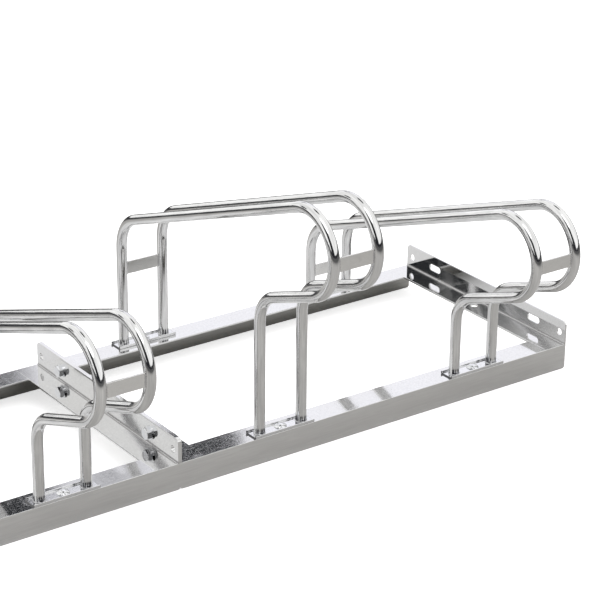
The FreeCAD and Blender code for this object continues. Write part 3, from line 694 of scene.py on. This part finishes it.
def skin_rings(name, rings):
    """A mesh through a stack of equal rings, closed at both ends, smooth but at crisp edges."""
    work = bmesh.new()
    loops = [[work.verts.new(point) for point in ring] for ring in rings]
    steps = len(rings[0])
    for lower, upper in zip(loops, loops[1:]):
        for step in range(steps):
            after = (step + 1) % steps
            work.faces.new((lower[step], lower[after], upper[after], upper[step]))
    for loop in (loops[0], loops[-1]):
        middle = work.verts.new(sum((vertex.co for vertex in loop), Vector()) / steps)
        for step in range(steps):
            work.faces.new((loop[step], loop[(step + 1) % steps], middle))
    bmesh.ops.recalc_face_normals(work, faces=work.faces)
    for face in work.faces:
        face.smooth = True
    for edge in work.edges:
        edge.smooth = edge.calc_face_angle(0) < crisp_angle
    mesh = bpy.data.meshes.new(name)
    work.to_mesh(mesh)
    work.free()
    return mesh


def ring_at(level, reach):
    """Points round the Z axis.  reach is a radius, or a function from an angle to a radius."""
    ring = []
    for step in range(bolt_ring_steps):
        angle = 2 * math.pi * step / bolt_ring_steps
        radius = reach(angle) if callable(reach) else reach
        ring.append(Vector((radius * math.cos(angle), radius * math.sin(angle), level)))
    return ring


def square_reach(half):
    """A square with its corners just broken."""
    corner = half * 1.36
    return lambda angle: min(half / max(abs(math.cos(angle)), abs(math.sin(angle))), corner)


def hexagon_reach(across_flats, limit):
    """A hexagon with a flat across the Y axis, turned down to a limit."""
    def reach(angle):
        from_flat = angle % (math.pi / 3) - math.pi / 6
        return min(across_flats / 2 / math.cos(from_flat), limit)
    return reach


def thread_root(radius, pitch):
    """The radius at the bottom of a metric thread."""
    return radius - 0.61 * pitch


def bolt_tip(radius, pitch, length):
    """The two rings of a bolt's chamfered tip."""
    root = thread_root(radius, pitch)
    return [ring_at(-length, root - pitch * 0.5), ring_at(-length + pitch * 0.5, root)]


def make_bolt_tree():
    """Winds a thread round a bolt blank and sets one bolt at every vertex of a mesh."""
    tree, given, result = start_geometry_tree("threaded bolt", (
        ("Blank", "Object", None),
        ("Thread Radius", "Float", 0.004),
        ("Thread Pitch", "Float", 0.00125),
        ("Thread Start", "Float", -0.020),
        ("Thread Length", "Float", 0.016),
        ("Bolt Turn", "Rotation", None),
        ("Coat", "Material", None),
    ))
    link = tree.links.new
    blank = tree.nodes.new("GeometryNodeObjectInfo")
    link(given.outputs["Blank"], blank.inputs["Object"])
    half_pitch = calculate(tree, "MULTIPLY", given.outputs["Thread Pitch"], 0.5)
    spine = calculate(tree, "SUBTRACT", given.outputs["Thread Radius"], half_pitch)
    helix = tree.nodes.new("GeometryNodeCurveSpiral")
    helix.inputs["Resolution"].default_value = 28
    link(calculate(tree, "DIVIDE", given.outputs["Thread Length"], given.outputs["Thread Pitch"]),
         helix.inputs["Rotations"])
    link(spine, helix.inputs["Start Radius"])
    link(spine, helix.inputs["End Radius"])
    link(given.outputs["Thread Length"], helix.inputs["Height"])
    # Four points make the ridge's section a square on its corner, which is the thread's V.
    upright = tree.nodes.new("GeometryNodeSetCurveNormal")
    upright.mode = "Z_UP"
    link(helix.outputs["Curve"], upright.inputs["Curve"])
    ridge = tree.nodes.new("GeometryNodeCurvePrimitiveCircle")
    ridge.inputs["Resolution"].default_value = 4
    link(half_pitch, ridge.inputs["Radius"])
    # The ridge rises out of the shank over its first and last half turn.
    factor = tree.nodes.new("GeometryNodeSplineParameter").outputs["Factor"]
    to_end = calculate(tree, "MINIMUM", factor, calculate(tree, "SUBTRACT", 1.0, factor))
    rise = calculate(tree, "MINIMUM", calculate(tree, "MULTIPLY_ADD", to_end, 18.0, 0.2), 1.0)
    thread = tree.nodes.new("GeometryNodeCurveToMesh")
    thread.inputs["Fill Caps"].default_value = True
    link(upright.outputs["Curve"], thread.inputs["Curve"])
    link(ridge.outputs["Curve"], thread.inputs["Profile Curve"])
    link(rise, thread.inputs["Scale"])
    lowered = tree.nodes.new("GeometryNodeTransform")
    down = tree.nodes.new("ShaderNodeCombineXYZ")
    link(given.outputs["Thread Start"], down.inputs["Z"])
    link(thread.outputs["Mesh"], lowered.inputs["Geometry"])
    link(down.outputs["Vector"], lowered.inputs["Translation"])
    bolt = tree.nodes.new("GeometryNodeJoinGeometry")
    link(blank.outputs["Geometry"], bolt.inputs["Geometry"])
    link(lowered.outputs["Geometry"], bolt.inputs["Geometry"])
    seats = tree.nodes.new("GeometryNodeInstanceOnPoints")
    link(given.outputs["Geometry"], seats.inputs["Points"])
    link(bolt.outputs["Geometry"], seats.inputs["Instance"])
    link(given.outputs["Bolt Turn"], seats.inputs["Rotation"])
    finish_tree(tree, seats.outputs["Instances"], given.outputs["Coat"], result)
    return tree


def set_bolts(name, node, seats, rings, **values):
    """Replaces a node's plain bolts with threaded ones that stand on the given seats."""
    blank = add_to_scene(name + "_blank", skin_rings(name + "_blank", rings))
    bolts = grow(name, line_mesh(name, [([seat], False) for seat in seats]), bolt_tree,
                 Blank=blank, Coat=bolt_zinc, **values)
    bpy.data.objects.remove(blank)
    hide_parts(node)


plating_dark, plating_light = (0.62, 0.63, 0.65), (0.86, 0.86, 0.86)
plating_blue = (0.60, 0.62, 0.68)
bolt_zinc = make_plated_zinc()
bolt_ring_steps = 48
crisp_angle = math.radians(25)
bolt_tree = make_bolt_tree()
coat(("foot_bolt_washers", "foot_bolt_nuts"), bolt_zinc)

foot_bolt_radius = 0.004
foot_bolt_pitch = 0.00125
foot_bolt_length = 0.020
foot_thread_length = 0.0155
foot_head_radius = 0.009
foot_head_rim = 0.001
rim_chamfer = 0.0003
dome_rise = 0.0035
dome_radius = (foot_head_radius ** 2 + dome_rise ** 2) / (2 * dome_rise)
dome_angle = math.asin(foot_head_radius / dome_radius)
dome = []
for part in (1.0, 0.9, 0.78, 0.65, 0.5, 0.35, 0.2, 0.08):
    level = foot_head_rim + dome_rise - dome_radius * (1 - math.cos(dome_angle * part))
    dome.append(ring_at(level, dome_radius * math.sin(dome_angle * part)))
foot_rings = bolt_tip(foot_bolt_radius, foot_bolt_pitch, foot_bolt_length) + [
    ring_at(-foot_sheet, thread_root(foot_bolt_radius, foot_bolt_pitch)),
    ring_at(-foot_sheet, square_reach(foot_bolt_radius)),
    ring_at(0, square_reach(foot_bolt_radius)),
    ring_at(0, foot_head_radius - rim_chamfer),
    ring_at(rim_chamfer, foot_head_radius),
] + dome
foot_seats = []
for holder in holders:
    for end in ("front", "rear"):
        foot_low, foot_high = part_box("%s_%s_foot" % (holder, end))
        middle = (foot_low + foot_high) / 2
        foot_seats.append(Vector((middle.x, middle.y, foot_floor)))
set_bolts("threaded_foot_bolts", "foot_bolts", foot_seats, foot_rings,
          Thread_Radius=foot_bolt_radius, Thread_Pitch=foot_bolt_pitch,
          Thread_Start=-foot_bolt_length + foot_bolt_pitch, Thread_Length=foot_thread_length)

# ------------------------------------------------------------------------------------------------
# Joint bolts
# Hexagon bolts, M10 x 25, plated like the foot bolts.  They pass through the slots of two cross
# members back to back, with a washer on each side, and hold the two modules together.
# ------------------------------------------------------------------------------------------------

coat(("joint_bolt_washers", "joint_bolt_nuts"), bolt_zinc)

joint_bolt_radius = 0.005
joint_bolt_pitch = 0.0015
joint_bolt_length = 0.025
joint_thread_length = 0.021
joint_flats = 0.016
joint_head_height = 0.0064
# The corners of the head are turned off from a circle just inside its flats, 30 degrees down.
turned_top = joint_flats * 0.475
turned_slope = math.tan(math.radians(60))
joint_rings = bolt_tip(joint_bolt_radius, joint_bolt_pitch, joint_bolt_length) + [
    ring_at(0, thread_root(joint_bolt_radius, joint_bolt_pitch)),
    ring_at(0, hexagon_reach(joint_flats, joint_flats)),
]
for below in (0.00098, 0.0008, 0.0006, 0.0004, 0.00025, 0.0):
    joint_rings.append(ring_at(joint_head_height - below,
                               hexagon_reach(joint_flats, turned_top + below * turned_slope)))
washers_low, washers_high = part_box("joint_bolt_washers")
washer_radius = (washers_high.z - washers_low.z) / 2
joint_level = (washers_low.z + washers_high.z) / 2
joint_seats = [
    Vector((washers_low.x, y, joint_level))
    for y in (washers_low.y + washer_radius, washers_high.y - washer_radius)
]
set_bolts("threaded_joint_bolts", "joint_bolts", joint_seats, joint_rings,
          Thread_Radius=joint_bolt_radius, Thread_Pitch=joint_bolt_pitch,
          Thread_Start=-joint_bolt_length + joint_bolt_pitch, Thread_Length=joint_thread_length,
          Bolt_Turn=(0, -math.pi / 2, 0))

# ------------------------------------------------------------------------------------------------
# Studio
# A white floor and a white surround with one broad soft light.  Polished steel is seen by what it
# mirrors, so mirrored rays meet a greyer floor, a dark horizon and dark spots in the sky.
# ------------------------------------------------------------------------------------------------


def make_floor_paint():
    """White to the camera, and to other rays grey in front, lighter behind and dim far away."""
    material = bpy.data.materials.new("studio floor")
    material.use_nodes = True
    tree = material.node_tree
    tree.nodes.clear()
    ray = tree.nodes.new("ShaderNodeLightPath")
    x, y, _ = object_place(tree)
    under_the_rack = calculate(tree, "MULTIPLY", rescale(tree, y, -0.14, -0.06, 0, 1, smooth=True),
                               rescale(tree, y, 0.42, 0.75, 1, 0, smooth=True))
    mirrored = blend_colours(tree, under_the_rack, floor_in_front, floor_under_rack)
    far = rescale(tree, hypotenuse(tree, x, y), 1.1, 2.6, 0, 1, smooth=True)
    mirrored = blend_colours(tree, far, mirrored, floor_far_away)
    paint = blend_colours(tree, ray.outputs["Is Camera Ray"], mirrored, floor_white)
    matt = tree.nodes.new("ShaderNodeBsdfDiffuse")
    tree.links.new(paint, matt.inputs["Color"])
    # A little light of its own keeps the shadow on the white floor as faint as in the photograph.
    glow = tree.nodes.new("ShaderNodeEmission")
    seen_glow = calculate(tree, "MULTIPLY", ray.outputs["Is Camera Ray"], floor_glow)
    tree.links.new(seen_glow, glow.inputs["Strength"])
    both = tree.nodes.new("ShaderNodeAddShader")
    tree.links.new(matt.outputs["BSDF"], both.inputs[0])
    tree.links.new(glow.outputs["Emission"], both.inputs[1])
    surface = tree.nodes.new("ShaderNodeOutputMaterial")
    tree.links.new(both.outputs["Shader"], surface.inputs["Surface"])
    return material


def patch(tree, direction, centre, core, edge):
    """1 in a round patch of the sky about a direction, 0 outside its edge."""
    away = tree.nodes.new("ShaderNodeVectorMath")
    away.operation = "DISTANCE"
    away.inputs[1].default_value = centre
    tree.links.new(direction, away.inputs[0])
    return rescale(tree, away.outputs["Value"], core, edge, 1, 0, smooth=True)


def make_surround():
    """Even white light, but mirrored rays see a horizon line, a tinted sky and dark spots."""
    world = bpy.data.worlds.new("studio")
    bpy.context.scene.world = world
    world.use_nodes = True
    tree = world.node_tree
    light = tree.nodes["Background"]
    ray = tree.nodes.new("ShaderNodeLightPath")
    # In a world this output is the direction of the ray.
    direction = tree.nodes.new("ShaderNodeTexCoord").outputs["Generated"]
    split = tree.nodes.new("ShaderNodeSeparateXYZ")
    tree.links.new(direction, split.inputs["Vector"])
    above_horizon = rescale(tree, split.outputs["Z"], 0.070, 0.100, 0, 1, smooth=True)
    lavender = patch(tree, direction, lavender_way, 0.1, 0.5)
    sky = blend_colours(tree, lavender, sky_white, sky_lavender)
    # A dark gap in the light beside the camera leans over as it rises.
    facing = calculate(tree, "ARCTAN2", split.outputs["Y"], split.outputs["X"])
    middle = calculate(tree, "MULTIPLY_ADD", split.outputs["Z"], -gap_lean, gap_azimuth)
    aside = calculate(tree, "ABSOLUTE", calculate(tree, "SUBTRACT", facing, middle))
    gap = calculate(tree, "MULTIPLY", rescale(tree, aside, gap_core, gap_edge, 1, 0, smooth=True),
                    rescale(tree, split.outputs["Z"], 0.76, 0.90, 1, 0, smooth=True))
    for centre, core, edge in dark_patches:
        gap = calculate(tree, "MAXIMUM", gap, patch(tree, direction, centre, core, edge))
    sky = blend_colours(tree, gap, sky, gap_dark)
    seen = blend_colours(tree, above_horizon, horizon_dark, sky)
    colour = blend_colours(tree, ray.outputs["Is Glossy Ray"], (1.0, 1.0, 1.0), seen)
    tree.links.new(colour, light.inputs["Color"])


sky_white, sky_lavender = (1.18, 1.18, 1.17), (1.18, 1.18, 1.24)
lavender_way = (0.51, 0.75, 0.42)
horizon_dark = (0.03, 0.03, 0.035)
gap_dark = (0.02, 0.022, 0.025)
gap_azimuth = math.radians(-117)
gap_lean = math.radians(57)
gap_core = math.radians(19)
gap_edge = math.radians(29)
# Each dark patch has a direction, the reach of its full dark and the reach of its edge.  A patch
# whose first reach is below zero is only grey in its middle.
dark_patches = (
    # Mirrored in the top of the front rail: right of the joint, at the left end, and between them.
    ((0.4824, 0.7481, 0.4557), 0.018, 0.022),
    ((0.3987, 0.7832, 0.4771), 0.020, 0.034),
    ((0.4438, 0.7653, 0.4663), -0.020, 0.036),
    # In the top of the rear rail at the left end.
    ((0.4115, 0.8060, 0.4255), 0.000, 0.028),
    # In the round flanks of tubes and bolts.
    ((0.2845, 0.8493, 0.4447), 0.050, 0.085),
    ((0.3479, 0.7999, 0.4890), 0.040, 0.060),
    # In the right cross member.
    ((-0.5900, 0.7450, 0.3100), 0.090, 0.150),
    # In the tops of the tubes and bolt heads.
    ((0.2095, 0.3106, 0.9270), 0.140, 0.200),
)
make_surround()

floor_white = (0.97, 0.97, 0.97)
floor_in_front = (0.52, 0.51, 0.495)
floor_under_rack = (0.86, 0.86, 0.86)
floor_far_away = (0.12, 0.12, 0.12)
floor_glow = 0.6
floor_reach = 12
floor_level = -0.0004
floor_mesh = bpy.data.meshes.new("studio_floor")
floor_mesh.from_pydata([
    (-floor_reach, -floor_reach, floor_level), (floor_reach, -floor_reach, floor_level),
    (floor_reach, floor_reach, floor_level), (-floor_reach, floor_reach, floor_level),
], [], [(0, 1, 2, 3)])
floor_mesh.materials.append(make_floor_paint())
add_to_scene("studio_floor", floor_mesh)

soft_light = bpy.data.lights.new("soft_light", "AREA")
soft_light.shape = "DISK"
soft_light.size = 2.2
soft_light.energy = 14
soft_box = bpy.data.objects.new("soft_light", soft_light)
soft_box.location = (-0.9, -1.2, 3.2)
soft_box.rotation_euler = (-soft_box.location).to_track_quat("-Z", "Y").to_euler()
bpy.context.scene.collection.objects.link(soft_box)

# ------------------------------------------------------------------------------------------------
# Camera
# The viewpoint of the photograph, found from the rack's own corners: a little above the rack, off
# its left front corner, looking along the noses with a long lens.
# ------------------------------------------------------------------------------------------------

picture_width = 600
focal_pixels = 2166.21
azimuth, elevation, roll = math.radians(54.2716), math.radians(23.1776), math.radians(0.6604)
viewpoint = Vector((-1.398883, -2.332878, 1.404513))

camera = bpy.data.cameras.new("camera")
camera.sensor_width = 36
camera.lens = camera.sensor_width * focal_pixels / picture_width
camera.clip_end = 50

forward = Vector((
    math.cos(azimuth) * math.cos(elevation),
    math.sin(azimuth) * math.cos(elevation),
    -math.sin(elevation),
))
level_right = Vector((math.sin(azimuth), -math.cos(azimuth), 0))
right = Matrix.Rotation(-roll, 3, forward) @ level_right
above = right.cross(forward)
stand = bpy.data.objects.new("camera", camera)
pose = Matrix((right, above, -forward)).transposed().to_4x4()
pose.translation = viewpoint
stand.matrix_world = pose
bpy.context.scene.collection.objects.link(stand)
bpy.context.scene.camera = stand
bpy.context.scene.view_settings.view_transform = "Standard"
